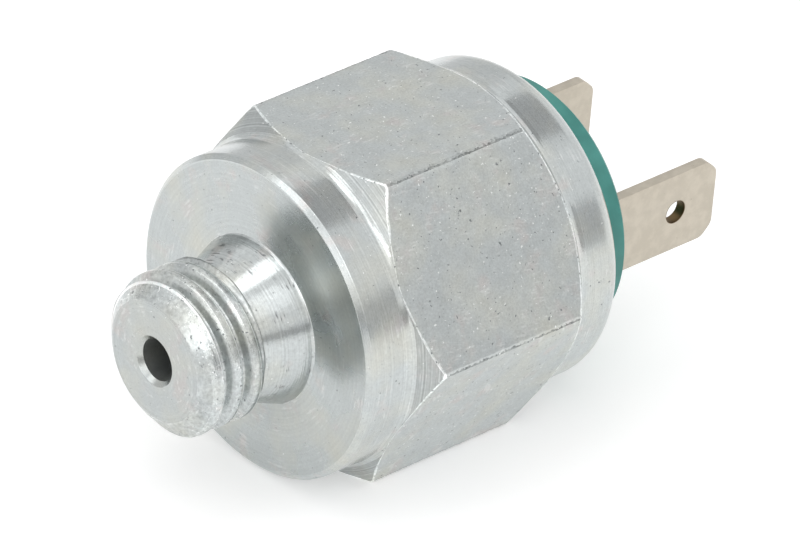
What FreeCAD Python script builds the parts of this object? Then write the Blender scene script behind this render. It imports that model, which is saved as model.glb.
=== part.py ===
import FreeCAD, Part
import os
import re
import Sketcher
from FreeCAD import Placement, Rotation, Vector

# Hydraulic brake pressure switch.
# A hexagon steel body screws into a brake line port. Fluid pushes a rubber diaphragm and a
# plunger, which lifts a brass bridge against two fixed contacts. A moulded base with two blade
# terminals closes the body and is held by a crimped lip.
# X runs along the axis towards the terminals and is zero on the sealing face. Z is up.

# Driving dimensions in millimetres and degrees.
SIZES = {
    # threaded pressure stub
    "stub_length": 9.2,
    "thread_diameter": 11.8,
    "lead_chamfer": 1.1,
    "lead_chamfer_depth": 1.5,
    "thread_runout": 0.5,
    "neck_length": 3.5,
    "neck_small_diameter": 9.5,
    "neck_large_diameter": 12.4,
    "port_diameter": 3.1,
    "port_countersink": 0.35,
    # body outside
    "flange_length": 3.7,
    "flange_chamfer": 0.35,
    "collar_root_bevel": 0.45,
    "hex_across_flats": 24.0,
    "hex_corner_trim": 0.084,
    "collar_step": 0.1,
    "hex_length": 15.8,
    "hex_chamfer_angle": 40.0,
    "rear_collar_length": 4.15,
    "crimp_shoulder_radius": 1.5,
    "crimp_lip_thickness": 1.3,
    "crimp_lip_reach": 0.9,
    "collar_wall": 1.4,
    # body inside
    "cavity_depth": 9.5,
    "counterbore_step": 1.5,
    "chamber_diameter": 12.0,
    "chamber_depth": 1.1,
    # seals and diaphragm
    "seal_ring_thickness": 1.0,
    "seal_ring_width": 1.6,
    "diaphragm_thickness": 0.5,
    "base_seal_thickness": 0.9,
    # guide ring, plunger and spacer
    "guide_ring_thickness": 3.8,
    "plunger_head_diameter": 11.4,
    "plunger_head_thickness": 1.1,
    "plunger_shank_diameter": 6.5,
    "plunger_spigot_diameter": 3.2,
    "plunger_spigot_rise": 0.6,
    "plunger_edge_chamfer": 0.2,
    "spacer_wall": 0.9,
    # contacts
    "contact_travel": 0.8,
    "contact_spacing": 9.4,
    "contact_diameter": 2.2,
    "contact_height": 0.65,
    "contact_shank_diameter": 1.3,
    "rivet_tail_diameter": 2.0,
    "rivet_tail_height": 0.25,
    "bridge_end_margin": 0.3,
    "bridge_width": 4.8,
    "bridge_thickness": 0.9,
    "bridge_corner_radius": 1.3,
    # return spring
    "spring_wire_size": 0.65,
    "spring_mean_diameter": 5.2,
    "spring_turns": 3.0,
    # moulded base
    "base_flange_length": 4.9,
    "base_boss_length": 3.8,
    "base_edge_chamfer": 0.3,
    "spring_recess_diameter": 7.0,
    "spring_recess_depth": 2.2,
    "sealing_well_length": 8.6,
    "sealing_well_width": 2.8,
    "sealing_well_depth": 0.9,
    "sealing_well_corner": 0.8,
    # blade terminals
    "terminal_spacing": 12.9,
    "terminal_width": 6.3,
    "terminal_thickness": 0.8,
    "terminal_exposed_length": 10.8,
    "terminal_bend_radius": 0.2,
    "terminal_foot_reach": 3.2,
    "terminal_tip_chamfer": 0.9,
    "terminal_tip_radius": 0.9,
    "terminal_hole_diameter": 1.75,
    "terminal_hole_from_tip": 3.7,
    "terminal_turn": 3.0,
    # clearances, each on the radius or on one side
    "cavity_clearance": 0.1,
    "plunger_head_clearance": 0.4,
    "plunger_running_clearance": 0.05,
    "plunger_overtravel": 0.2,
    "bridge_clearance": 0.03,
    "base_clearance": 0.1,
    "terminal_slot_clearance": 0.03,
}

# Places worked out from the driving dimensions, as spreadsheet expressions.
PLACES = {
    # along the axis
    "stub_tip": "-stub_length",
    "neck_front": "-neck_length",
    "hex_front": "flange_length",
    "hex_rear": "hex_front + hex_length",
    "hex_chamfer_rise": "(hex_bar_radius - collar_radius) * tan(hex_chamfer_angle)",
    "body_rear": "hex_rear + rear_collar_length",
    "lip_front": "body_rear - crimp_lip_thickness",
    "base_front": "lip_front - base_flange_length",
    "base_rear": "lip_front + base_boss_length",
    "counterbore_floor": "base_front - base_seal_thickness",
    "cavity_floor": "counterbore_floor - cavity_depth",
    "chamber_floor": "cavity_floor - chamber_depth",
    "diaphragm_front": "cavity_floor + seal_ring_thickness",
    "guide_front": "diaphragm_front + diaphragm_thickness",
    "guide_rear": "guide_front + guide_ring_thickness",
    "head_rear": "guide_front + plunger_head_thickness",
    "guide_recess_floor": "head_rear + contact_travel + plunger_overtravel",
    "foot_front": "base_front - terminal_thickness",
    "fixed_contact_face": "foot_front - contact_height",
    "moving_contact_face": "fixed_contact_face - contact_travel",
    "bridge_rear": "moving_contact_face - contact_height",
    "bridge_front": "bridge_rear - bridge_thickness",
    "spigot_end": "bridge_rear + plunger_spigot_rise",
    "spring_seat": "base_front + spring_recess_depth",
    "spring_pitch": "(spring_seat - bridge_rear - spring_wire_size) / spring_turns",
    "terminal_tip": "base_rear + terminal_exposed_length",
    # across the axis
    "thread_radius": "thread_diameter / 2",
    "port_radius": "port_diameter / 2",
    "collar_radius": "hex_across_flats / 2 - collar_step",
    "hex_corner_radius": "hex_across_flats / sqrt(3)",
    "hex_bar_radius": "hex_corner_radius - hex_corner_trim",
    "counterbore_radius": "collar_radius - collar_wall",
    "cavity_radius": "counterbore_radius - counterbore_step",
    "fitted_radius": "cavity_radius - cavity_clearance",
    "base_flange_radius": "counterbore_radius - base_clearance",
    "lip_radius": "counterbore_radius - crimp_lip_reach",
    "base_boss_radius": "lip_radius - base_clearance",
    "head_radius": "plunger_head_diameter / 2",
    "shank_radius": "plunger_shank_diameter / 2",
    "spigot_radius": "plunger_spigot_diameter / 2",
    "blade_middle": "terminal_spacing / 2",
    "blade_outside": "blade_middle + terminal_thickness / 2",
    "blade_inside": "blade_middle - terminal_thickness / 2",
    "foot_end": "blade_inside - terminal_foot_reach + terminal_bend_radius",
    "contact_middle": "contact_spacing / 2",
    "bridge_end": "contact_middle + contact_diameter / 2 + bridge_end_margin",
    "bridge_side": "bridge_width / 2",
}

doc = FreeCAD.newDocument("brake_pressure_sensor")
sheet = doc.addObject("Spreadsheet::Sheet", "sizes")
for row, (alias, size) in enumerate(SIZES.items(), start=1):
    sheet.set(f"A{row}", alias)
    sheet.set(f"B{row}", str(size))
    sheet.setAlias(f"B{row}", alias)
doc.recompute()


# Turn a text with size and place names into an expression on the spreadsheet.
def bound(text):
    def spell_out(word):
        name = word.group(0)
        if name in PLACES:
            return "(" + bound(PLACES[name]) + ")"
        return "sizes." + name if name in SIZES else name

    return re.sub(r"[a-z_]+", spell_out, text)


def value(text):
    return float(sheet.evalExpression(bound(text)))


def new_body(label):
    body = doc.addObject("PartDesign::Body", label)
    body.Label = label
    return body


def add_sketch(body, name, role, offset="0"):
    sketch = body.newObject("Sketcher::SketchObject", name)
    plane = next(feature for feature in body.Origin.OriginFeatures if feature.Role == role)
    sketch.AttachmentSupport = [(plane, "")]
    sketch.MapMode = "FlatFace"
    sketch.setExpression("AttachmentOffset.Base.z", bound(offset))
    return sketch


# Tie one point of a sketch element to a pair of expressions, measured from the sketch origin.
def tie_point(sketch, element, end, across, up):
    for direction, text in (("DistanceX", across), ("DistanceY", up)):
        tie = Sketcher.Constraint(direction, -1, 1, element, end, value(text))
        sketch.setExpression(f"Constraints[{sketch.addConstraint(tie)}]", bound(text))


# Closed outline of straight lines with every corner tied to its sizes.
def add_outline(sketch, corners):
    places = [Vector(value(across), value(up), 0) for across, up in corners]
    count = len(corners)
    first = sketch.GeometryCount
    for index, place in enumerate(places):
        sketch.addGeometry(Part.LineSegment(place, places[(index + 1) % count]), False)
    for index, (across, up) in enumerate(corners):
        following = first + (index + 1) % count
        sketch.addConstraint(Sketcher.Constraint("Coincident", first + index, 2, following, 1))
        tie_point(sketch, first + index, 1, across, up)


def add_rectangle(sketch, left, bottom, right, top):
    add_outline(sketch, [(left, bottom), (right, bottom), (right, top), (left, top)])


def add_circle(sketch, across, up, radius):
    centre = Vector(value(across), value(up), 0)
    element = sketch.addGeometry(Part.Circle(centre, Vector(0, 0, 1), value(radius)), False)
    tie_point(sketch, element, 3, across, up)
    size = sketch.addConstraint(Sketcher.Constraint("Radius", element, value(radius)))
    sketch.setExpression(f"Constraints[{size}]", bound(radius))


# Solid or cut of revolution about the X axis, from corners given as (along, radius).
def turn(body, name, corners, kind="PartDesign::Revolution"):
    sketch = add_sketch(body, name + "_outline", "XY_Plane")
    add_outline(sketch, corners)
    feature = body.newObject(kind, name)
    feature.Profile = sketch
    feature.ReferenceAxis = (sketch, ["H_Axis"])
    feature.Angle = 360
    doc.recompute()
    return feature


def turn_away(body, name, corners):
    return turn(body, name, corners, "PartDesign::Groove")


def pad(body, name, sketch, length, midplane=False):
    feature = body.newObject("PartDesign::Pad", name)
    feature.Profile = sketch
    feature.Midplane = midplane
    feature.setExpression("Length", bound(length))
    doc.recompute()
    return feature


def cut_through(body, name, sketch):
    feature = body.newObject("PartDesign::Pocket", name)
    feature.Profile = sketch
    feature.Type = "ThroughAll"
    feature.Midplane = True
    doc.recompute()
    return feature


# Names of the round edges about the X axis at the given place along it and radius.
def ring_edges(feature, along, radius):
    found = []
    for index, edge in enumerate(feature.Shape.Edges, start=1):
        if not isinstance(edge.Curve, Part.Circle):
            continue
        off_place = abs(edge.Curve.Center.x - value(along))
        off_radius = abs(edge.Curve.Radius - value(radius))
        if max(off_place, off_radius) < 1e-4:
            found.append(f"Edge{index}")
    return found


# Names of the straight edges along one axis that pass through the given point across it.
def straight_edges(feature, direction, *points):
    found = []
    for index, edge in enumerate(feature.Shape.Edges, start=1):
        if not isinstance(edge.Curve, Part.Line) or abs(edge.Curve.Direction * direction) < 0.999:
            continue
        middle = edge.CenterOfMass
        across = middle - direction * (middle * direction)
        if any(across.distanceToPoint(point) < 1e-4 for point in points):
            found.append(f"Edge{index}")
    return found


def round_edges(body, name, feature, edges, radius):
    rounding = body.newObject("PartDesign::Fillet", name)
    rounding.Base = (feature, edges)
    rounding.setExpression("Radius", bound(radius))
    doc.recompute()
    return rounding


def bevel_edges(body, name, feature, edges, size):
    bevel = body.newObject("PartDesign::Chamfer", name)
    bevel.Base = (feature, edges)
    bevel.setExpression("Size", bound(size))
    doc.recompute()
    return bevel


# The base, its terminals and the contacts all stand turned about X by the same angle.
def turn_with_base(body, half_turn=False):
    body.Placement = Placement(Vector(0, 0, 0), Rotation(Vector(1, 0, 0), 1))
    angle = "terminal_turn + 180" if half_turn else "terminal_turn"
    body.setExpression("Placement.Rotation.Angle", bound(angle))


# Shoulder that the crimping tool rolls inwards in three steps round one radius.
def crimp_steps():
    return [
        (
            f"body_rear - crimp_shoulder_radius * (1 - sin({step}))",
            f"collar_radius - crimp_shoulder_radius * (1 - cos({step}))",
        )
        for step in (0, 30, 60, 90)
    ]


def make_housing():
    body = new_body("housing")
    bar = turn(body, "turned_bar", [
        ("stub_tip", "0"),
        ("stub_tip", "thread_radius - lead_chamfer_depth"),
        ("stub_tip + lead_chamfer", "thread_radius"),
        ("neck_front - thread_runout", "thread_radius"),
        ("neck_front", "neck_small_diameter / 2"),
        ("0", "neck_large_diameter / 2"),
        ("0", "collar_radius"),
        ("hex_front", "collar_radius"),
        ("hex_front + hex_chamfer_rise", "hex_bar_radius"),
        ("hex_rear - hex_chamfer_rise", "hex_bar_radius"),
        ("hex_rear", "collar_radius"),
        *crimp_steps(),
        ("body_rear", "0"),
    ])
    roots = ring_edges(bar, "hex_front", "collar_radius")
    roots += ring_edges(bar, "hex_rear", "collar_radius")
    rooted = bevel_edges(body, "collar_roots", bar, roots, "collar_root_bevel")
    face_edge = ring_edges(rooted, "0", "collar_radius")
    bevel_edges(body, "flange_edge", rooted, face_edge, "flange_chamfer")

    flats = add_sketch(body, "flats_outline", "YZ_Plane")
    add_circle(flats, "0", "0", "2 * hex_bar_radius")
    add_outline(flats, [
        ("hex_corner_radius", "0"),
        ("hex_corner_radius / 2", "hex_across_flats / 2"),
        ("-hex_corner_radius / 2", "hex_across_flats / 2"),
        ("-hex_corner_radius", "0"),
        ("-hex_corner_radius / 2", "-hex_across_flats / 2"),
        ("hex_corner_radius / 2", "-hex_across_flats / 2"),
    ])
    cut_through(body, "hexagon_flats", flats)

    turn_away(body, "bored_inside", [
        ("stub_tip", "0"),
        ("stub_tip", "port_radius + port_countersink"),
        ("stub_tip + port_countersink", "port_radius"),
        ("chamber_floor", "port_radius"),
        ("chamber_floor", "chamber_diameter / 2"),
        ("cavity_floor", "chamber_diameter / 2"),
        ("cavity_floor", "cavity_radius"),
        ("counterbore_floor", "cavity_radius"),
        ("counterbore_floor", "counterbore_radius"),
        ("lip_front", "counterbore_radius"),
        ("lip_front", "lip_radius"),
        ("body_rear", "lip_radius"),
        ("body_rear", "0"),
    ])
    return body


# Plain ring or disc about the X axis, with no hole where the inner radius is "0".
def turned_ring(label, front, rear, inner, outer):
    body = new_body(label)
    turn(body, label + "_ring", [(front, inner), (front, outer), (rear, outer), (rear, inner)])
    return body


def make_seal_ring():
    inner = "fitted_radius - seal_ring_width"
    return turned_ring("seal_ring", "cavity_floor", "diaphragm_front", inner, "fitted_radius")


def make_diaphragm():
    return turned_ring("diaphragm", "diaphragm_front", "guide_front", "0", "fitted_radius")


def make_base_seal():
    inner = "cavity_radius + cavity_clearance"
    return turned_ring("base_seal", "counterbore_floor", "base_front", inner, "base_flange_radius")


def make_spacer_sleeve():
    inner = "fitted_radius - spacer_wall"
    return turned_ring("spacer_sleeve", "guide_rear", "base_front", inner, "fitted_radius")


def make_guide_ring():
    body = new_body("guide_ring")
    turn(body, "guide_section", [
        ("guide_front", "head_radius + plunger_head_clearance"),
        ("guide_front", "fitted_radius"),
        ("guide_rear", "fitted_radius"),
        ("guide_rear", "shank_radius + plunger_running_clearance"),
        ("guide_recess_floor", "shank_radius + plunger_running_clearance"),
        ("guide_recess_floor", "head_radius + plunger_head_clearance"),
    ])
    return body


def make_plunger():
    body = new_body("plunger")
    stepped = turn(body, "stepped_pin", [
        ("guide_front", "0"),
        ("guide_front", "head_radius"),
        ("head_rear", "head_radius"),
        ("head_rear", "shank_radius"),
        ("bridge_front", "shank_radius"),
        ("bridge_front", "spigot_radius"),
        ("spigot_end", "spigot_radius"),
        ("spigot_end", "0"),
    ])
    edges = ring_edges(stepped, "guide_front", "head_radius")
    edges += ring_edges(stepped, "spigot_end", "spigot_radius")
    bevel_edges(body, "eased_edges", stepped, edges, "plunger_edge_chamfer")
    turn_with_base(body)
    return body


def make_contact_bridge():
    body = new_body("contact_bridge")
    plate = add_sketch(body, "bridge_outline", "YZ_Plane", "bridge_front")
    add_rectangle(plate, "-bridge_end", "-bridge_side", "bridge_end", "bridge_side")
    add_circle(plate, "0", "0", "spigot_radius + bridge_clearance")
    for side in ("-", ""):
        add_circle(plate, side + "contact_middle", "0", "contact_shank_diameter / 2")
    bar = pad(body, "bridge_bar", plate, "bridge_thickness")
    corners = [
        Vector(0, across * value("bridge_end"), up * value("bridge_side"))
        for across in (-1, 1)
        for up in (-1, 1)
    ]
    edges = straight_edges(bar, Vector(1, 0, 0), *corners)
    round_edges(body, "bridge_corners", bar, edges, "bridge_corner_radius")
    turn_with_base(body)
    return body


# Contact rivet about a line parallel to X, from corners given as (along, radius).
def make_rivet(label, corners, half_turn):
    body = new_body(label)
    sketch = add_sketch(body, label + "_outline", "XY_Plane")
    add_outline(sketch, [(along, "contact_middle + " + radius) for along, radius in corners])
    rivet = body.newObject("PartDesign::Revolution", label + "_rivet")
    rivet.Profile = sketch
    last_line = f"Edge{len(corners)}"
    rivet.ReferenceAxis = (sketch, [last_line])
    rivet.Angle = 360
    doc.recompute()
    turn_with_base(body, half_turn)
    return body


def make_bridge_contact(side, half_turn):
    return make_rivet("bridge_contact_" + side, [
        ("bridge_front - rivet_tail_height", "0"),
        ("bridge_front - rivet_tail_height", "rivet_tail_diameter / 2"),
        ("bridge_front", "rivet_tail_diameter / 2"),
        ("bridge_front", "contact_shank_diameter / 2"),
        ("bridge_rear", "contact_shank_diameter / 2"),
        ("bridge_rear", "contact_diameter / 2"),
        ("moving_contact_face", "contact_diameter / 2"),
        ("moving_contact_face", "0"),
    ], half_turn)


def make_fixed_contact(side, half_turn):
    return make_rivet("fixed_contact_" + side, [
        ("fixed_contact_face", "0"),
        ("fixed_contact_face", "contact_diameter / 2"),
        ("foot_front", "contact_diameter / 2"),
        ("foot_front", "contact_shank_diameter / 2"),
        ("base_front", "contact_shank_diameter / 2"),
        ("base_front", "0"),
    ], half_turn)


def make_return_spring():
    body = new_body("return_spring")
    wire = add_sketch(body, "wire_section", "XY_Plane")
    inside = "spring_mean_diameter / 2 - spring_wire_size / 2"
    outside = "spring_mean_diameter / 2 + spring_wire_size / 2"
    add_rectangle(wire, "bridge_rear", inside, "bridge_rear + spring_wire_size", outside)
    coil = body.newObject("PartDesign::AdditiveHelix", "coil")
    coil.Profile = wire
    coil.ReferenceAxis = (wire, ["H_Axis"])
    coil.Mode = "pitch-turns-angle"
    coil.setExpression("Pitch", bound("spring_pitch"))
    coil.setExpression("Turns", bound("spring_turns"))
    doc.recompute()
    return body


def make_base():
    body = new_body("base")
    moulding = turn(body, "moulding", [
        ("spring_seat", "0"),
        ("spring_seat", "spring_recess_diameter / 2"),
        ("base_front", "spring_recess_diameter / 2"),
        ("base_front", "base_flange_radius"),
        ("lip_front", "base_flange_radius"),
        ("lip_front", "base_boss_radius"),
        ("base_rear", "base_boss_radius"),
        ("base_rear", "0"),
    ])
    edge = ring_edges(moulding, "base_rear", "base_boss_radius")
    bevel_edges(body, "boss_edge", moulding, edge, "base_edge_chamfer")

    slots = add_sketch(body, "slot_outlines", "YZ_Plane")
    reach = "(terminal_width / 2 + terminal_slot_clearance)"
    for inner, outer in (("blade_inside", "blade_outside"), ("-blade_outside", "-blade_inside")):
        left = inner + " - terminal_slot_clearance"
        right = outer + " + terminal_slot_clearance"
        add_rectangle(slots, left, "-" + reach, right, reach)
    cut_through(body, "terminal_slots", slots)

    wells = add_sketch(body, "well_outlines", "YZ_Plane", "base_rear")
    half = "sealing_well_length / 2"
    for middle in ("blade_middle", "-blade_middle"):
        left = middle + " - sealing_well_width / 2"
        right = middle + " + sealing_well_width / 2"
        add_rectangle(wells, left, "-" + half, right, half)
    sunk = body.newObject("PartDesign::Pocket", "sealing_wells")
    sunk.Profile = wells
    sunk.setExpression("Length", bound("sealing_well_depth"))
    doc.recompute()
    corners = [
        Vector(0, side * value("blade_middle") + edge * value("sealing_well_width") / 2, up * value(half))
        for side in (-1, 1)
        for edge in (-1, 1)
        for up in (-1, 1)
    ]
    edges = straight_edges(sunk, Vector(1, 0, 0), *corners)
    round_edges(body, "well_corners", sunk, edges, "sealing_well_corner")
    turn_with_base(body)
    return body


# One strip bent to an L: the foot carries a contact, the blade leaves through the base.
def make_terminal(side, half_turn):
    body = new_body("terminal_" + side)
    section = add_sketch(body, "strip_section", "XY_Plane")
    add_outline(section, [
        ("foot_front", "foot_end"),
        ("foot_front", "blade_outside"),
        ("terminal_tip", "blade_outside"),
        ("terminal_tip", "blade_inside"),
        ("base_front", "blade_inside"),
        ("base_front", "foot_end"),
    ])
    strip = pad(body, "strip", section, "terminal_width", midplane=True)
    along_z = Vector(0, 0, 1)
    inside = straight_edges(strip, along_z, Vector(value("base_front"), value("blade_inside"), 0))
    bent = round_edges(body, "bend_inside", strip, inside, "terminal_bend_radius")
    outside = straight_edges(bent, along_z, Vector(value("foot_front"), value("blade_outside"), 0))
    outer = "terminal_bend_radius + terminal_thickness"
    bent = round_edges(body, "bend_outside", bent, outside, outer)

    tip = value("terminal_tip")
    half = value("terminal_width / 2")
    corners = [Vector(tip, 0, up * half) for up in (-1, 1)]
    ends = straight_edges(bent, Vector(0, 1, 0), *corners)
    cut = bevel_edges(body, "tip_corners", bent, ends, "terminal_tip_chamfer")
    chamfer = value("terminal_tip_chamfer")
    soft = [Vector(tip - chamfer, 0, up * half) for up in (-1, 1)]
    soft += [Vector(tip, 0, up * (half - chamfer)) for up in (-1, 1)]
    ends = straight_edges(cut, Vector(0, 1, 0), *soft)
    round_edges(body, "tip_rounding", cut, ends, "terminal_tip_radius")

    hole = add_sketch(body, "blade_hole_outline", "XZ_Plane")
    add_circle(hole, "terminal_tip - terminal_hole_from_tip", "0", "terminal_hole_diameter / 2")
    cut_through(body, "blade_hole", hole)
    rivet_hole = add_sketch(body, "rivet_hole_outline", "YZ_Plane")
    add_circle(rivet_hole, "contact_middle", "0", "contact_shank_diameter / 2")
    cut_through(body, "rivet_hole", rivet_hole)
    turn_with_base(body, half_turn)
    return body


parts = [
    make_housing(),
    make_seal_ring(),
    make_diaphragm(),
    make_guide_ring(),
    make_plunger(),
    make_contact_bridge(),
    make_return_spring(),
    make_spacer_sleeve(),
    make_base_seal(),
    make_base(),
]
for side, half_turn in (("right", False), ("left", True)):
    parts += [
        make_bridge_contact(side, half_turn),
        make_fixed_contact(side, half_turn),
        make_terminal(side, half_turn),
    ]
doc.recompute()

for item in doc.Objects:
    if "Invalid" in item.State or "Error" in item.State:
        raise RuntimeError(f"{item.Label} did not build: {item.State}")
for part in parts:
    if part.Shape.isNull() or not part.Shape.isValid() or len(part.Shape.Solids) != 1:
        raise RuntimeError(f"{part.Label} is not one sound solid")

os.makedirs("parts", exist_ok=True)
for part in parts:
    part.Shape.exportStep(f"parts/{part.Label}.step")
    box = part.Shape.BoundBox
    print(f"{part.Label}: {part.Shape.Volume:.1f} mm3, x {box.XMin:.2f} to {box.XMax:.2f}")
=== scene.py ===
import math
import random

import bmesh
import bpy
from mathutils import Matrix, Vector


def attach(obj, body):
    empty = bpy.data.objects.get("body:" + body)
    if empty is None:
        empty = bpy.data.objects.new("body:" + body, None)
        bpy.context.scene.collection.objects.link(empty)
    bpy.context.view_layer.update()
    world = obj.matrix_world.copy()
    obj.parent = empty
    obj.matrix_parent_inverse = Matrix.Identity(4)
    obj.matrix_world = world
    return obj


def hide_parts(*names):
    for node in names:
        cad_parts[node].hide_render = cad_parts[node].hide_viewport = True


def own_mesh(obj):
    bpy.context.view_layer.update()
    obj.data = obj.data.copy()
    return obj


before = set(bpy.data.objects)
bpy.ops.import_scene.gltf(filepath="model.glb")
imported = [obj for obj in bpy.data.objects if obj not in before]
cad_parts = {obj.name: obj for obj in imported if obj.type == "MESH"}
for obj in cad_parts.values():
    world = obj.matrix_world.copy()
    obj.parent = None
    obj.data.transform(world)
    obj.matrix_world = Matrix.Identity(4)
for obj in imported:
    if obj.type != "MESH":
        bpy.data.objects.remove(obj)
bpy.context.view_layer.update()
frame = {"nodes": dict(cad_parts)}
cadNodes = frame["nodes"]
mm = 0.001
random.seed(7)
print("loaded", len(cadNodes), "CAD nodes")


# sRGB hex to linear, with alpha
def linearColor(hexText):
    channels = [int(hexText[i:i + 2], 16) / 255 for i in (1, 3, 5)]
    return [c / 12.92 if c <= 0.04045 else ((c + 0.055) / 1.055) ** 2.4 for c in channels] + [1.0]


# one shader node with its settings and its inputs: plain values, sockets, or nodes for their first output
def addNode(tree, kind, settings=None, inputs=None):
    node = tree.nodes.new("ShaderNode" + kind)
    for name, value in (settings or {}).items():
        setattr(node, name, value)
    for key, value in (inputs or {}).items():
        if isinstance(value, bpy.types.Node):
            value = value.outputs[0]
        if isinstance(value, bpy.types.NodeSocket):
            tree.links.new(value, node.inputs[key])
        else:
            node.inputs[key].default_value = value
    return node


def startMaterial(name):
    material = bpy.data.materials.new(name)
    material.use_nodes = True
    material.node_tree.nodes.clear()
    return material, material.node_tree


def perMetre(sizeInMm):
    return 1 / (sizeInMm * mm)


def addPiece(name, mesh):
    item = bpy.data.objects.new(name, mesh)
    bpy.context.scene.collection.objects.link(item)
    return item


# the photograph's camera, found from the hexagon's corners and the turned rings
camera = {
    "azimuth": -43.125, "elevation": 31.011, "roll": 2.767,
    "distance": 737.18, "across": 9.968, "up": 3.586,   # mm
    "lens": 481.54, "clipStart": 0.05, "clipEnd": 20,
}


def addCamera(look):
    azimuth, elevation, roll = (math.radians(look[key]) for key in ("azimuth", "elevation", "roll"))
    back = Vector((math.sin(azimuth) * math.cos(elevation), -math.cos(azimuth) * math.cos(elevation),
                   math.sin(elevation)))
    right = Vector((math.cos(azimuth), math.sin(azimuth), 0))
    up = back.cross(right)
    across = right * math.cos(roll) + up * math.sin(roll)
    above = up * math.cos(roll) - right * math.sin(roll)
    data = bpy.data.cameras.new("photoCamera")
    data.lens = look["lens"]
    data.clip_start, data.clip_end = look["clipStart"], look["clipEnd"]
    item = addPiece("photoCamera", data)
    place = (back * look["distance"] + across * look["across"] + above * look["up"]) * mm
    turn = Matrix((across, above, back)).transposed().to_4x4()
    item.matrix_world = Matrix.Translation(place) @ turn
    bpy.context.scene.camera = item


addCamera(camera)


# The housing is one turned and threaded hexagon bar, drawn as a grid of columns round the X axis.
# Its profiles are points (along the axis, radius) in mm, with the rounding of that corner as a third number.
housing = {
    "acrossFlats": 24.0, "barRadius": 13.772, "collarRadius": 11.9,
    "hexFront": 3.7, "hexRear": 19.5, "coneAngle": 40.0, "rootRadius": 0.97,
    "edgeWidth": 0.09, "nickDepth": 0.1, "rowsOnFlats": 96,
    "cornerWear": 0.03, "chipDepth": 0.1, "chipShare": 0.12, "seamWander": (-0.7, 0.6), "joinWithin": 0.002,
    "portFront": [(-8.7, 1.55)],
    "portEdge": [(-8.8, 1.55, 0), (-8.85, 1.55, 0.04), (-9.2, 1.9, 0.1), (-9.2, 3.0, 0)],
    "stubFace": [(-9.2, 3.6), (-9.2, 4.15), (-9.2, 4.28), (-9.187, 4.33), (-9.16, 4.375)],
    "neck": [(-3.5, 4.77), (-3.3, 4.85), (-2.7, 5.11), (-2.0, 5.41), (-1.2, 5.75), (-0.7, 5.95), (-0.4, 6.05),
             (-0.2, 6.11), (-0.07, 6.15)],
    "flangeFace": [(0, 6.24), (0, 9.0), (0, 11.4)],
    "flangeEdge": [(0, 11.45, 0), (0, 11.55, 0.06), (0.35, 11.9, 0.08), (3.0, 11.9, 0)],
    "rearAndBore": [(20.25, 11.9, 0), (23.65, 11.9, 1.5), (23.65, 9.6, 0.15), (22.35, 9.6, 0.05),
                    (22.35, 10.5, 0.05), (16.55, 10.5, 0.05), (16.55, 9.0, 0.05), (7.05, 9.0, 0.05),
                    (7.05, 6.0, 0.05), (5.95, 6.0, 0.05), (5.95, 1.55, 0.05), (4.0, 1.55, 0)],
    "port": [(-1.2, 1.55), (-5.0, 1.55)],
}
# pitch as the photograph shows it, tip chamfer, and the runout where the groove gets shallow
thread = {
    "pitch": 1.7, "crest": 5.9, "phase": 0.99, "front": -9.15, "rear": -3.55,
    "tip": -9.2, "tipRadius": 4.4, "chamferEnd": -8.1, "crestDrop": 0.02,
    "runoutStart": -4.0, "runoutSlope": 2.3, "fadeBefore": 0.9, "fadeLength": 1.3, "fadeShare": 0.55,
    "smallestRadius": 4.8,
    # one pitch: distance from the groove's middle, depth below the crest, finish of the faces behind
    # the two rows at each crest's rear edge carry a painted highlight
    "shape": [(-0.85, 0.0, "thread"), (-0.64, 0.008, "worn"), (-0.57, 0.03, "worn"),
              (-0.5, 0.1, "groove"), (-0.34, 0.42, "groove"), (-0.21, 0.67, "groove"), (-0.14, 0.76, "groove"),
              (0.0, 0.79, "groove"), (0.14, 0.76, "groove"), (0.21, 0.67, "groove"), (0.34, 0.42, "groove"),
              (0.5, 0.1, "thread"), (0.57, 0.03, "thread"), (0.63, 0.008, "thread")],
}


# half the land where the round bar cuts off a corner between two flats, in degrees
def halfLand(look):
    return 30 - math.degrees(math.acos(look["acrossFlats"] / 2 / look["barRadius"]))


# close columns beside each corner's land, then one every 3.75 degrees
def columnAngles(look):
    land = halfLand(look)
    half = [0, land, land + 0.35, 2.0] + [3.75 * i for i in range(1, 9)]
    sixth = half + [60 - angle for angle in reversed(half[1:-1])]
    return [60 * side + angle for side in range(6) for angle in sixth]


# a line through corners, each corner as an arc with a close point on both sides
def roundedLine(corners, steps=4):
    line = [corners[0][:2]]
    for before, corner, after in zip(corners, corners[1:], corners[2:]):
        point = Vector(corner[:2])
        toBack = Vector(before[:2]) - point
        toNext = Vector(after[:2]) - point
        radius = corner[2]
        if radius == 0:
            line.append(tuple(point))
            continue
        turn = math.pi - toBack.angle(toNext)
        reach = radius * math.tan(turn / 2)
        start, end = point + toBack.normalized() * reach, point + toNext.normalized() * reach
        guard = min(0.12, 0.4 * radius + 0.04)
        if toBack.length > reach + guard * 1.5:
            line.append(tuple(start + toBack.normalized() * guard))
        inward = (toBack.normalized() + toNext.normalized()).normalized()
        middle = point + inward * (radius / math.cos(turn / 2))
        first = math.atan2(start.y - middle.y, start.x - middle.x)
        swing = math.atan2(end.y - middle.y, end.x - middle.x) - first
        swing = (swing + math.pi) % (2 * math.pi) - math.pi
        for i in range(steps + 1):
            spoke = first + swing * i / steps
            line.append((middle.x + radius * math.cos(spoke), middle.y + radius * math.sin(spoke)))
        if toNext.length > reach + guard * 1.5:
            line.append(tuple(end + toNext.normalized() * guard))
    line.append(corners[-1][:2])
    return line


def flatRadius(angle, look):
    away = math.radians(angle % 60 - 30)
    return min(look["acrossFlats"] / 2 / math.cos(away), look["barRadius"])


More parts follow.
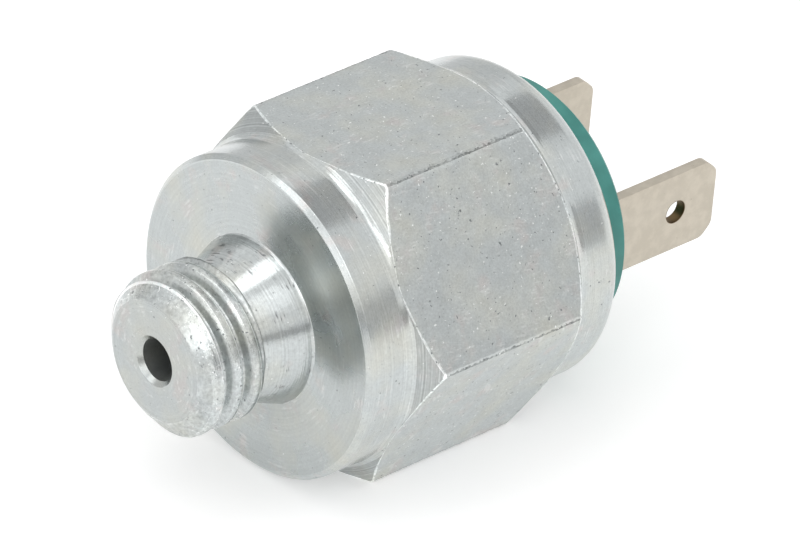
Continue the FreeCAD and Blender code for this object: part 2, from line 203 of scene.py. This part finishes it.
# root fillet and chamfer cone from the collar up to the flat, as (distance behind the root, radius)
def chamferLine(angle, look, nick):
    slope = math.radians(look["coneAngle"])
    cone = Vector((math.sin(slope), math.cos(slope)))
    collar, rootRadius = look["collarRadius"], look["rootRadius"]
    rise = math.pi / 2 - slope
    start = -rootRadius * math.tan(rise / 2)
    top = flatRadius(angle, look)
    arcTop = collar + rootRadius * (1 - math.cos(rise))
    reach = math.acos(1 - (top - collar) / rootRadius) if top < arcTop else rise
    points = [(start - 0.12, collar)]
    for i in range(7):
        turn = min(rise * i / 6, reach)
        points.append((start + rootRadius * math.sin(turn), collar + rootRadius * (1 - math.cos(turn))))
    foot = Vector(points[-1])
    length = max(0.0, (top - foot.y) / cone.y)
    corner = foot + cone * length
    for back in (0.85, 0.6, 0.35, 0.15):
        points.append(tuple(foot + cone * (length * (1 - back))))
    edge = look["edgeWidth"] + nick
    near = min(edge, length * 0.1)
    points.append(tuple(corner - cone * near))
    points.append((corner.x + 0.3 * edge - 0.25 * near, corner.y - 0.18 * edge))
    points.append((corner.x + edge, top))
    points.append((corner.x + edge + 0.12, top))
    return points


# the tip chamfer, the crest and the runout limit the outside
def threadRadius(x, depth, look):
    crest, tip, runout = look["crest"], look["tip"], look["runoutStart"]
    outside = crest
    if x < look["chamferEnd"]:
        outside = look["tipRadius"] + (crest - look["tipRadius"]) * (x - tip) / (look["chamferEnd"] - tip)
        outside = min(outside, crest - look["crestDrop"])
    if x > runout:
        outside = crest - (x - runout) * look["runoutSlope"]
    shallow = max(0.0, min(1.0, (x - runout + look["fadeBefore"]) / look["fadeLength"]))
    groove = crest - depth * (1 - look["fadeShare"] * shallow)
    return min(outside, max(groove, look["smallestRadius"]))


def makeHousingMesh(look, thread):
    angles = columnAngles(look)
    count = len(angles)
    nickAt = [random.random() ** 3 * look["nickDepth"] for _ in angles]
    rearNickAt = [random.random() ** 3 * look["nickDepth"] for _ in angles]
    rings = []          # each ring is a list of (x, radius), one for each column
    parts = []          # finish of the faces behind each ring

    def addPlain(line, finish):
        for point in line:
            rings.append([point] * count)
            parts.append(finish)

    # face of the stub, from the port's countersink outwards
    addPlain(look["portFront"], "bore")
    addPlain(roundedLine(look["portEdge"]), "faces")
    addPlain(look["stubFace"], "faces")

    # thread: every column is shifted along by its share of the pitch
    pitch, front, rear = thread["pitch"], thread["front"], thread["rear"]
    turns = math.ceil((rear - front) / pitch) + 1
    perTurn = len(thread["shape"])
    threadFirst = len(rings)
    for turn in range(turns + 1):
        for offset, depth, finish in thread["shape"]:
            ring = []
            for angle in angles:
                x = front + thread["phase"] + pitch * (turn - 1 + angle / 360) + offset
                x = max(front, min(rear, x))
                ring.append((x, threadRadius(x, depth, thread)))
            rings.append(ring)
            parts.append(finish)
    threadLast = len(rings) - 1

    addPlain(look["neck"], "neck")
    addPlain(look["flangeFace"], "flangeFace")
    addPlain(roundedLine(look["flangeEdge"], 5), "turned")

    # hexagon with its chamfers, both ends from one line, and rows of points between them
    frontLines = [chamferLine(a, look, n) for a, n in zip(angles, nickAt)]
    rearLines = [chamferLine(a, look, n) for a, n in zip(angles, rearNickAt)]
    size = len(frontLines[0])
    for i in range(size):
        rings.append([(look["hexFront"] + line[i][0], line[i][1]) for line in frontLines])
        parts.append("fillet" if i < 7 else "cones" if i < size - 4 else "edges" if i < size - 2 else "flats")
    rows = look["rowsOnFlats"]
    for row in range(1, rows):
        ring = []
        for column, angle in enumerate(angles):
            start = look["hexFront"] + frontLines[column][-1][0]
            end = look["hexRear"] - rearLines[column][-1][0]
            radius = flatRadius(angle, look)
            if radius > look["barRadius"] - 0.02:      # worn corner between two flats
                radius -= look["cornerWear"] * random.random()
                radius -= look["chipDepth"] * random.random() if random.random() < look["chipShare"] else 0
            ring.append((start + (end - start) * row / rows, radius))
        rings.append(ring)
        parts.append("flats")
    for i in reversed(range(size)):
        rings.append([(look["hexRear"] - line[i][0], line[i][1]) for line in rearLines])
        parts.append("fillet" if i < 8 else "cones" if i < size - 3 else "edges" if i < size - 1 else "flats")

    # rear collar, crimped lip, bored inside and port
    addPlain(roundedLine(look["rearAndBore"], 8), "turned")
    addPlain(look["port"], "bore")

    land = halfLand(look)
    seams = [column for column, angle in enumerate(angles) if angle % 60 < 0.01]
    verts = []
    for ring, part in zip(rings, parts):
        for column, (x, radius) in enumerate(ring):
            angle = angles[column]
            if part == "flats" and column in seams:      # the dark line between two flats is ragged
                angle += land * random.uniform(*look["seamWander"])
            angle = math.radians(angle)
            verts.append((x * mm, radius * mm * math.cos(angle), radius * mm * math.sin(angle)))
    faces, finishes = [], []
    names = list(zincFinishes)
    for i, part in enumerate(parts):
        following = (i + 1) % len(rings)
        for column in range(count):
            near, far = i * count + column, following * count + column
            nextNear, nextFar = near + 1, far + 1
            if column == count - 1:      # the last column meets the first, one turn further on in the thread
                nextNear, nextFar = i * count, following * count
                if threadFirst <= i < threadLast:
                    nextNear = min(i + perTurn, threadLast) * count
                    nextFar = min(following + perTurn, threadLast) * count
            faces.append((near, far, nextFar, nextNear))
            finishes.append(names.index("seams" if part == "flats" and column in seams else part))
    mesh = bpy.data.meshes.new("housingBar")
    mesh.from_pydata(verts, [], faces)
    for polygon, finish in zip(mesh.polygons, finishes):
        polygon.material_index = finish
        polygon.use_smooth = True
    return mesh


# joins points that fall together, drops the faces that shrink to nothing and closes what they leave
def cleanMesh(mesh, distance):
    work = bmesh.new()
    work.from_mesh(mesh)
    bmesh.ops.remove_doubles(work, verts=work.verts, dist=distance)
    bmesh.ops.dissolve_degenerate(work, edges=work.edges, dist=distance)
    bmesh.ops.holes_fill(work, edges=[edge for edge in work.edges if edge.is_boundary])
    bmesh.ops.recalc_face_normals(work, faces=work.faces)
    openEdges = sum(not edge.is_manifold for edge in work.edges)
    work.to_mesh(mesh)
    work.free()
    return openEdges


# colours, and real sizes in mm; the tool's lines are about 0.1 mm apart, drawn coarser so that they show
zincLook = {
    "plain": "#c8cbc7", "blue": "#c3c8c8", "straw": "#cacbc4", "rose": "#c9c7c5",
    # the dark speck colour also paints the neck's shaded streaks
    "darkSpeckAndStreak": "#7d8182", "brightSpeck": "#f6f8f7",
    "filmPatch": 4.0, "lineWidth": 0.16, "scratchWidth": 0.2, "scratchPatch": 2.0,
    "pits": 0.3, "points": 0.26,
    "toneSwing": 15,            # tone change for each mm of a line's depth
    "shift": (0.3, 0.1, 0.7),   # metres, takes a second pattern away from the first
}
# every finish: tone against the plain colour, roughness range, contrast of the fine grain, grain size, depth
# of bumps, depth of the tool's lines, how common dark and bright specks are, and scratches' strength, below
# zero for dark streaks, which are painted shade. A hollow leans the face inwards as its radius grows.
zincFinishes = {
    "turned": {"tone": 0.98, "roughness": (0.18, 0.27), "contrast": 0.1, "grain": 0.2, "depth": 0.002,
               "lineDepth": 0.003, "dark": 0.3, "bright": 0.27, "scratchAndStreak": 0.3},
    "fillet": {"tone": 1.0, "roughness": (0.1, 0.18), "contrast": 0.12, "grain": 0.2, "depth": 0.002,
               "lineDepth": 0.004, "dark": 0.3, "bright": 0.27, "scratchAndStreak": 0.3},
    "faces": {"tone": 0.86, "roughness": (0.2, 0.28), "contrast": 0.08, "grain": 0.2, "depth": 0.002,
              "lineDepth": 0.002, "dark": 0.3, "bright": 0.25, "scratchAndStreak": 0.2},
    "flangeFace": {"tone": 0.92, "roughness": (0.24, 0.32), "contrast": 0.08, "grain": 0.2, "depth": 0.002,
                   "lineDepth": 0.002, "dark": 0.3, "bright": 0.25, "scratchAndStreak": 0.2, "hollow": 0.08},
    "flats": {"tone": 1.0, "roughness": (0.32, 0.42), "contrast": 0.16, "grain": 0.16, "depth": 0.011,
              "lineDepth": 0.0, "dark": 0.33, "bright": 0.315, "scratchAndStreak": 0.25},
    "thread": {"tone": 1.0, "roughness": (0.2, 0.3), "contrast": 0.34, "grain": 0.34, "depth": 0.012,
               "lineDepth": 0.0, "dark": 0.34, "bright": 0.33, "scratchAndStreak": 0.5},
    # groove: tone 0.9 paints shade into the thread's roots
    "groove": {"tone": 0.9, "roughness": (0.25, 0.35), "contrast": 0.3, "grain": 0.34, "depth": 0.012,
               "lineDepth": 0.0, "dark": 0.34, "bright": 0.3, "scratchAndStreak": 0.3},
    # crest edges: tone 1.7 is a painted highlight, the bright line along each crest's rear edge
    "worn": {"tone": 1.7, "roughness": (0.3, 0.4), "contrast": 0.3, "grain": 0.5, "depth": 0.012,
             "lineDepth": 0.0, "dark": 0.36, "bright": 0.34, "scratchAndStreak": 0.0},
    # neck: scratch strength below zero paints dark streaks, a painted shade across the neck's highlight
    "neck": {"tone": 0.98, "roughness": (0.15, 0.22), "contrast": 0.14, "grain": 0.3, "depth": 0.004,
             "lineDepth": 0.005, "dark": 0.3, "bright": 0.28, "scratchAndStreak": -1.0},
    # cones: the deeper tool lines and roughness are real; tone 0.8 paints them darker, a painted shade
    "cones": {"tone": 0.8, "roughness": (0.34, 0.4), "contrast": 0.12, "grain": 0.2, "depth": 0.002,
              "lineDepth": 0.012, "dark": 0.28, "bright": 0.28, "scratchAndStreak": 0.3},
    # edges: tone 1.45 paints a highlight, a thin bright broken line along the flats' edges
    "edges": {"tone": 1.45, "roughness": (0.3, 0.4), "contrast": 0.5, "grain": 0.3, "depth": 0.02,
              "lineDepth": 0.0, "dark": 0.38, "bright": 0.36, "scratchAndStreak": 0.0},
    "seams": {"tone": 0.62, "roughness": (0.4, 0.5), "contrast": 0.5, "grain": 0.4, "depth": 0.02,
              "lineDepth": 0.0, "dark": 0.4, "bright": 0.33, "scratchAndStreak": 0.0},
    # bore: tone 0.75 paints shade into the port
    "bore": {"tone": 0.75, "roughness": (0.45, 0.55), "contrast": 0.1, "grain": 0.3, "depth": 0.01,
             "lineDepth": 0.0, "dark": 0.28, "bright": 0.28, "scratchAndStreak": 0.0},
}
smooth = {"interpolation_type": "SMOOTHSTEP"}


# Zinc-plated steel, clear passivated: a pale grey metal with very faint blue, straw and rose films,
# fine grain, dark pits and bright worn points.
def zincPlatedSteel(name, look, finish):
    material, tree = startMaterial("zincPlatedSteel_" + name)
    place = addNode(tree, "TexCoord").outputs["Object"]
    moved = addNode(tree, "VectorMath", {"operation": "ADD"}, {0: place, 1: look["shift"]})

    # round the axis: distance along it and way round, for lines and scratches left by the tool
    parts = addNode(tree, "SeparateXYZ", None, {0: place}).outputs
    turned = addNode(tree, "Math", {"operation": "ARCTAN2"}, {0: parts[2], 1: parts[1]})
    spoke = addNode(tree, "CombineXYZ", None, {1: parts[1], 2: parts[2]})
    radius = addNode(tree, "VectorMath", {"operation": "LENGTH"}, {0: spoke}).outputs[1]
    along = addNode(tree, "Math", {"operation": "MULTIPLY_ADD"}, {0: radius, 1: 0.8, 2: parts[0]})
    way = addNode(tree, "Math", {"operation": "MULTIPLY"}, {0: turned, 1: 1.1 * mm})
    if name == "flats":      # milled flats: scratches run along the bar
        way = addNode(tree, "Math", {"operation": "MULTIPLY"}, {0: along, 1: 0.2})
        along = addNode(tree, "VectorMath", {"operation": "DOT_PRODUCT"},
                        {0: place, 1: (0.1, 0.8, 0.6)}).outputs[1]
    stretched = addNode(tree, "CombineXYZ", None, {0: along, 1: way})

    # patterns: where, size in mm, detail, roughness
    patterns = {
        "film": (place, look["filmPatch"], 3, 0.5),
        "secondFilm": (moved, look["filmPatch"] * 0.5, 3, 0.5),
        "grain": (place, finish["grain"], 3, 0.7),
        "cloud": (moved, finish["grain"] * 6, 3, 0.6),
        "scratchesAndStreaks": (stretched, look["scratchWidth"], 2, 0.6),
        "gate": (moved, look["scratchPatch"], 2, 0.5),
        "pits": (place, look["pits"], 2, 0.6),
        "points": (moved, look["points"], 2, 0.6),
    }
    for key, (where, size, detail, rough) in patterns.items():
        patterns[key] = addNode(tree, "TexNoise", None, {"Vector": where, "Scale": perMetre(size),
                                                         "Detail": detail, "Roughness": rough})
    # masks: pattern, value where the mask is 0, value where it is 1
    masks = {
        "plain": ("film", 0.4, 0.62), "straw": ("film", 0.56, 0.75), "rose": ("secondFilm", 0.55, 0.75),
        "scratchesAndStreaks": ("scratchesAndStreaks", 0.55, 0.66), "gate": ("gate", 0.5, 0.6),
        "pits": ("pits", finish["dark"], finish["dark"] - 0.05),
        "points": ("points", finish["bright"], finish["bright"] - 0.03),
    }
    for key, (pattern, low, high) in masks.items():
        masks[key] = addNode(tree, "MapRange", smooth, {"Value": patterns[pattern], "From Min": low,
                                                        "From Max": high})

    color = linearColor(look["blue"])
    for film in ("plain", "straw", "rose"):
        color = addNode(tree, "Mix", {"data_type": "RGBA"},
                        {0: masks[film], 6: color, 7: linearColor(look[film])}).outputs[2]
    # grain: a fine and a coarse one change the tone a little
    both = addNode(tree, "Math", {"operation": "MULTIPLY_ADD"},
                   {0: patterns["cloud"], 1: 0.45, 2: patterns["grain"]})
    tone = addNode(tree, "MapRange", None, {"Value": both, "From Min": 0.45, "From Max": 1.0,
                                            "To Min": finish["tone"] * (1 - finish["contrast"]),
                                            "To Max": finish["tone"] * (1 + finish["contrast"])})
    color = addNode(tree, "VectorMath", {"operation": "SCALE"}, {0: color, "Scale": tone})

    # dark pits, bright points, then bright scratches; on the neck the dark streaks are painted shade across
    # its highlight
    scratchAndStreak = addNode(tree, "Math", {"operation": "MULTIPLY"}, {0: masks["scratchesAndStreaks"], 1: masks["gate"]})
    scratchAndStreak = addNode(tree, "Math", {"operation": "MULTIPLY"}, {0: scratchAndStreak, 1: abs(finish["scratchAndStreak"])})
    scratchAndStreakTone = "brightSpeck" if finish["scratchAndStreak"] > 0 else "darkSpeckAndStreak"
    layers = ((masks["pits"], "darkSpeckAndStreak"), (masks["points"], "brightSpeck"), (scratchAndStreak, scratchAndStreakTone))
    for mask, layer in layers:
        color = addNode(tree, "Mix", {"data_type": "RGBA"},
                        {0: mask, 6: color, 7: linearColor(look[layer])}).outputs[2]

    height = addNode(tree, "Math", {"operation": "MULTIPLY_ADD"},
                     {0: masks["pits"], 1: -1.0, 2: patterns["grain"]})
    bump = addNode(tree, "Bump", None, {"Strength": 1.0, "Distance": finish["depth"] * mm, "Height": height})
    if finish["lineDepth"]:      # the tool's lines change tone and height
        lines = addNode(tree, "TexNoise", {"noise_dimensions": "1D"},
                        {"W": along, "Scale": perMetre(look["lineWidth"]), "Detail": 2.0})
        swing = look["toneSwing"] * finish["lineDepth"]
        tone = addNode(tree, "MapRange", None, {"Value": lines, "From Min": 0.3, "From Max": 0.7,
                                                "To Min": 1 - swing, "To Max": 1 + swing})
        color = addNode(tree, "VectorMath", {"operation": "SCALE"}, {0: color, "Scale": tone})
        bump = addNode(tree, "Bump", None, {"Strength": 1.0, "Distance": finish["lineDepth"] * mm,
                                            "Height": lines, "Normal": bump})
    if "hollow" in finish:      # the cutter left the face a little hollow, so it mirrors more of the neck
        bump = addNode(tree, "Bump", None, {"Strength": 1.0, "Distance": finish["hollow"], "Height": radius,
                                            "Normal": bump})
    low, high = finish["roughness"]
    roughness = addNode(tree, "MapRange", None, {"Value": patterns["film"], "From Min": 0.3, "From Max": 0.7,
                                                 "To Min": low, "To Max": high})
    shader = addNode(tree, "BsdfPrincipled", None, {"Base Color": color, "Metallic": 1.0,
                                                    "Roughness": roughness, "Normal": bump})
    addNode(tree, "OutputMaterial", None, {"Surface": shader})
    return material


housingMesh = makeHousingMesh(housing, thread)
openEdges = cleanMesh(housingMesh, housing["joinWithin"] * mm)
for name, finish in zincFinishes.items():
    housingMesh.materials.append(zincPlatedSteel(name, zincLook, finish))
housingPiece = addPiece("housing_bar", housingMesh)
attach(housingPiece, "switch_body")
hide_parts("housing")
print("housing:", len(housingMesh.polygons), "faces,", openEdges, "open edges")


# the return spring as a piece of its own, between the sliding bridge and its seat on the base
springPiece = addPiece("return_spring_wire", cadNodes["return_spring"].data.copy())
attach(springPiece, "switch_body")
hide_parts("return_spring")
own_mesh(springPiece)


# moulded plastic or rubber: soft cloudy colour, fine grain of the mould
def mouldedPlastic(name, look):
    material, tree = startMaterial(name)
    place = addNode(tree, "TexCoord").outputs["Object"]
    cloud, grain = (addNode(tree, "TexNoise", None, {"Vector": place, "Scale": perMetre(size),
                                                     "Detail": detail, "Roughness": 0.5})
                    for size, detail in ((look["patch"], 3), (look["grain"], 2)))
    share = addNode(tree, "MapRange", smooth, {"Value": cloud, "From Min": 0.35, "From Max": 0.65})
    color = addNode(tree, "Mix", {"data_type": "RGBA"},
                    {0: share, 6: linearColor(look["dark"]), 7: linearColor(look["light"])}).outputs[2]
    bump = addNode(tree, "Bump", None, {"Strength": 1.0, "Distance": look["grainDepth"] * mm,
                                        "Height": grain})
    roughness = addNode(tree, "MapRange", None, {"Value": cloud, "To Min": look["roughness"][0],
                                                 "To Max": look["roughness"][1]})
    shader = addNode(tree, "BsdfPrincipled", None, {"Base Color": color, "Roughness": roughness,
                                                    "IOR": look["ior"], "Normal": bump})
    addNode(tree, "OutputMaterial", None, {"Surface": shader})
    return material


# bare or plated metal with a satin skin: cloudy tone, fine grain, and stains where the look has them
def satinMetal(name, look):
    material, tree = startMaterial(name)
    place = addNode(tree, "TexCoord").outputs["Object"]
    cloud, grain = (addNode(tree, "TexNoise", None, {"Vector": place, "Scale": perMetre(size),
                                                     "Detail": detail, "Roughness": 0.6})
                    for size, detail in ((look["patch"], 4), (look["grain"], 3)))
    share = addNode(tree, "MapRange", smooth, {"Value": cloud, "From Min": 0.35, "From Max": 0.7})
    color = addNode(tree, "Mix", {"data_type": "RGBA"},
                    {0: share, 6: linearColor(look["dark"]), 7: linearColor(look["light"])}).outputs[2]
    if "stain" in look:
        parts = addNode(tree, "SeparateXYZ", None, {0: place}).outputs
        # stained most where the blade leaves the base
        foot = addNode(tree, "MapRange", smooth, {"Value": parts[0], "From Min": look["footEnd"] * mm,
                                                  "From Max": look["footStart"] * mm})
        spots = addNode(tree, "TexNoise", None, {"Vector": place, "Scale": perMetre(look["stainPatch"]),
                                                 "Detail": 5, "Roughness": 0.7})
        spots = addNode(tree, "Math", {"operation": "MULTIPLY_ADD"}, {0: foot, 1: 0.2, 2: spots})
        stained = addNode(tree, "MapRange", smooth, {"Value": spots, "From Min": 0.66, "From Max": 0.74})
        # the hole was punched after plating, so its wall is bare brass
        level = addNode(tree, "Math", {"operation": "MULTIPLY_ADD"},
                        {0: parts[1], 1: -math.tan(math.radians(look["lean"])), 2: parts[2]})
        beside = addNode(tree, "CombineXYZ", None, {0: parts[0], 2: level})
        away = addNode(tree, "VectorMath", {"operation": "DISTANCE"},
                       {0: beside, 1: (look["holeCentre"] * mm, 0, 0)}).outputs[1]
        wall = addNode(tree, "MapRange", smooth, {"Value": away, "From Min": look["holeWall"] * mm,
                                                  "From Max": (look["holeWall"] - look["wallBlend"]) * mm})
        for mask, layer in ((stained, "stain"), (wall, "bare")):
            color = addNode(tree, "Mix", {"data_type": "RGBA"},
                            {0: mask, 6: color, 7: linearColor(look[layer])}).outputs[2]
    bump = addNode(tree, "Bump", None, {"Strength": 1.0, "Distance": look["grainDepth"] * mm,
                                        "Height": grain})
    roughness = addNode(tree, "MapRange", None, {"Value": cloud, "To Min": look["roughness"][0],
                                                 "To Max": look["roughness"][1]})
    shader = addNode(tree, "BsdfPrincipled", None, {"Base Color": color, "Metallic": 1.0,
                                                    "Roughness": roughness, "Normal": bump})
    addNode(tree, "OutputMaterial", None, {"Surface": shader})
    return material


# sizes and depths in mm; the real grain is finer than a pixel, drawn coarser so that it shows
mouldedPolyamide = {     # glass-filled nylon of the base: even sea green, broad soft highlight
    "dark": "#3f877f", "light": "#4c9990", "patch": 3.0, "grain": 0.12, "grainDepth": 0.003,
    "roughness": (0.38, 0.48), "ior": 1.5,
}
mouldedAcetal = {        # unpigmented: warm off-white, a little waxy
    "dark": "#d8d2c0", "light": "#e4dfd0", "patch": 2.0, "grain": 0.1, "grainDepth": 0.003,
    "roughness": (0.45, 0.55), "ior": 1.5,
}
mouldedNitrile = {       # rubber: dull black
    "dark": "#1c1c1d", "light": "#2a2a2b", "patch": 1.5, "grain": 0.08, "grainDepth": 0.005,
    "roughness": (0.65, 0.75), "ior": 1.5,
}
platedBrass = {          # stamped from plated strip: warm pale grey, satin, brown in the punched hole
    "dark": "#c0b8aa", "light": "#cbc3b5", "patch": 0.9, "grain": 0.12, "grainDepth": 0.003,
    "roughness": (0.36, 0.48), "stain": "#7d6a54", "stainPatch": 0.6, "footStart": 26.2, "footEnd": 28.0,
    "bare": "#6b5a40", "holeCentre": 33.25, "holeWall": 0.94, "wallBlend": 0.04, "lean": 3.02,
}
rolledBrass = {          # bright yellow bar
    "dark": "#b08d4f", "light": "#c9a866", "patch": 1.5, "grain": 0.1, "grainDepth": 0.002,
    "roughness": (0.3, 0.42),
}
contactSilver = {        # rivets: near white, polished by the press
    "dark": "#cfcdc8", "light": "#dedcd8", "patch": 0.8, "grain": 0.08, "grainDepth": 0.002,
    "roughness": (0.25, 0.37),
}
drawnSteel = {           # uncoated ring and spring wire: plain mid grey
    "dark": "#8f9193", "light": "#a6a8aa", "patch": 1.5, "grain": 0.08, "grainDepth": 0.002,
    "roughness": (0.35, 0.47),
}
dressed = {
    "mouldedPolyamide": (mouldedPlastic, mouldedPolyamide, ["base"]),
    "mouldedAcetal": (mouldedPlastic, mouldedAcetal, ["plunger", "spacer_sleeve"]),
    "mouldedNitrile": (mouldedPlastic, mouldedNitrile, ["seal_ring", "diaphragm", "base_seal"]),
    "platedBrass": (satinMetal, platedBrass, ["terminal_right", "terminal_left"]),
    "rolledBrass": (satinMetal, rolledBrass, ["contact_bridge"]),
    "contactSilver": (satinMetal, contactSilver, ["bridge_contact_right", "bridge_contact_left",
                                                  "fixed_contact_right", "fixed_contact_left"]),
    "drawnSteel": (satinMetal, drawnSteel, ["guide_ring", "return_spring_wire"]),
}
smallPieces = {**cadNodes, "return_spring_wire": springPiece}
for name, (maker, look, members) in dressed.items():
    material = maker(name, look)
    for member in members:
        for holder in smallPieces[member].material_slots:
            holder.material = material
print("materials on", sum(len(entry[2]) for entry in dressed.values()), "small pieces")


# the blades' edges are rolled a little by the stamping
blades = {"weld": 0.002, "rolledEdge": 0.16, "steps": 3, "sharperThan": 40}
for name in ("terminal_right", "terminal_left"):
    strip = cadNodes[name]
    weld = strip.modifiers.new("joinedPoints", "WELD")
    weld.merge_threshold = blades["weld"] * mm
    rolled = strip.modifiers.new("rolledEdges", "BEVEL")
    rolled.width, rolled.segments = blades["rolledEdge"] * mm, blades["steps"]
    rolled.limit_method, rolled.angle_limit = "ANGLE", math.radians(blades["sharperThan"])
    for polygon in strip.data.polygons:
        polygon.use_smooth = True
print("blades rolled")


# Directions are seen from the part: azimuth and elevation in degrees. Distances are in metres.
studio = {
    "floorLevel": -12.02, "floorSize": 3.0, "floorColor": "#f4f4f4", "floorLift": 0.3,
    "aroundLight": 0.8,
    # soft boxes: azimuth, elevation, half widths across and up, distance, level
    "softBoxes": [(153, 42, 14, 8, 0.8, 0.9), (-168, 27, 20, 15, 0.8, 0.5), (-112, 49, 11, 17, 0.8, 0.45),
                  (-165, 63, 26, 10, 0.8, 0.75), (150, 83, 12, 12, 0.8, 1.2), (-172, 10, 13, 8, 0.8, 1.5),
                  (-139, 37, 10, 13, 0.8, 1.7)],
    # grey cards: azimuth from, to, elevation from, to, grey level, distance
    "cards": [(-145, -40, 0, 11, 0.5, 1.0), (-152, -136, -7.5, 11, 0.4, 0.09), (-66, -40, -3, 20, 0.6, 0.2),
              (-20, 28, 42, 64, 0.5, 1.0), (30, 130, 0, 38, 0.78, 1.0)],
    "cardSteps": 12,
}


def direction(azimuth, elevation):
    azimuth, elevation = math.radians(azimuth), math.radians(elevation)
    return Vector((math.cos(azimuth) * math.cos(elevation), math.sin(azimuth) * math.cos(elevation),
                   math.sin(elevation)))


# 1 where the camera sees a surface itself, in a mirror or through glass, else 0
def seenDirectly(tree):
    path = addNode(tree, "LightPath").outputs
    seen = addNode(tree, "Math", {"operation": "MAXIMUM"},
                   {0: path["Is Camera Ray"], 1: path["Is Glossy Ray"]})
    return addNode(tree, "Math", {"operation": "MAXIMUM"}, {0: seen, 1: path["Is Transmission Ray"]})


def addFloor(look):
    material, tree = startMaterial("paleFloor")
    base = addNode(tree, "BsdfDiffuse", None, {"Color": linearColor(look["floorColor"])})
    lift = addNode(tree, "Math", {"operation": "MULTIPLY"}, {0: seenDirectly(tree), 1: look["floorLift"]})
    glow = addNode(tree, "Emission", None, {"Strength": lift})
    both = addNode(tree, "AddShader", None, {0: base, 1: glow})
    addNode(tree, "OutputMaterial", None, {"Surface": both})
    half, height = look["floorSize"], look["floorLevel"] * mm
    corners = [(-half, -half, height), (half, -half, height), (half, half, height), (-half, half, height)]
    mesh = bpy.data.meshes.new("floor")
    mesh.from_pydata(corners, [], [(0, 1, 2, 3)])
    mesh.materials.append(material)
    addPiece("floor", mesh)


def addCard(index, steps, azimuthFrom, azimuthTo, low, high, level, distance):
    material, tree = startMaterial(f"greyCard_{index}")
    glow = addNode(tree, "Emission", None, {"Color": (level, level, level, 1)})
    addNode(tree, "OutputMaterial", None, {"Surface": glow})
    verts = [direction(azimuthFrom + (azimuthTo - azimuthFrom) * i / steps, elevation) * distance
             for i in range(steps + 1) for elevation in (low, high)]
    faces = [(2 * i, 2 * i + 2, 2 * i + 3, 2 * i + 1) for i in range(steps)]
    mesh = bpy.data.meshes.new(f"card_{index}")
    mesh.from_pydata(verts, [], faces)
    mesh.materials.append(material)
    card = addPiece(f"card_{index}", mesh)
    card.visible_camera = False
    card.visible_shadow = False


# an oval lamp that faces the part; at level 1 a mirror shows it as white
def addSoftBox(index, azimuth, elevation, halfWide, halfHigh, distance, level):
    lamp = bpy.data.lights.new(f"softBox_{index}", "AREA")
    lamp.shape = "ELLIPSE"
    lamp.size = 2 * distance * math.tan(math.radians(halfWide))
    lamp.size_y = 2 * distance * math.tan(math.radians(halfHigh))
    lamp.energy = level * math.pi * lamp.size * lamp.size_y * math.pi / 4
    item = addPiece(f"softBox_{index}", lamp)
    item.location = direction(azimuth, elevation) * distance
    item.rotation_euler = direction(azimuth, elevation).to_track_quat("Z", "Y").to_euler()


# white where the camera or a mirror sees it, a little dimmer as light on the part
def addAround(look):
    world = bpy.data.worlds.new("studio")
    bpy.context.scene.world = world
    world.use_nodes = True
    tree = world.node_tree
    tree.nodes.clear()
    level = addNode(tree, "MapRange", None, {"Value": seenDirectly(tree), "To Min": look["aroundLight"],
                                             "To Max": 1.0})
    background = addNode(tree, "Background", None, {"Color": (1, 1, 1, 1), "Strength": level})
    addNode(tree, "OutputWorld", None, {"Surface": background})


addFloor(studio)
for index, box in enumerate(studio["softBoxes"]):
    addSoftBox(index, *box)
for index, card in enumerate(studio["cards"]):
    addCard(index, studio["cardSteps"], *card)
addAround(studio)
bpy.context.scene.view_settings.view_transform = "Standard"
print("studio ready")
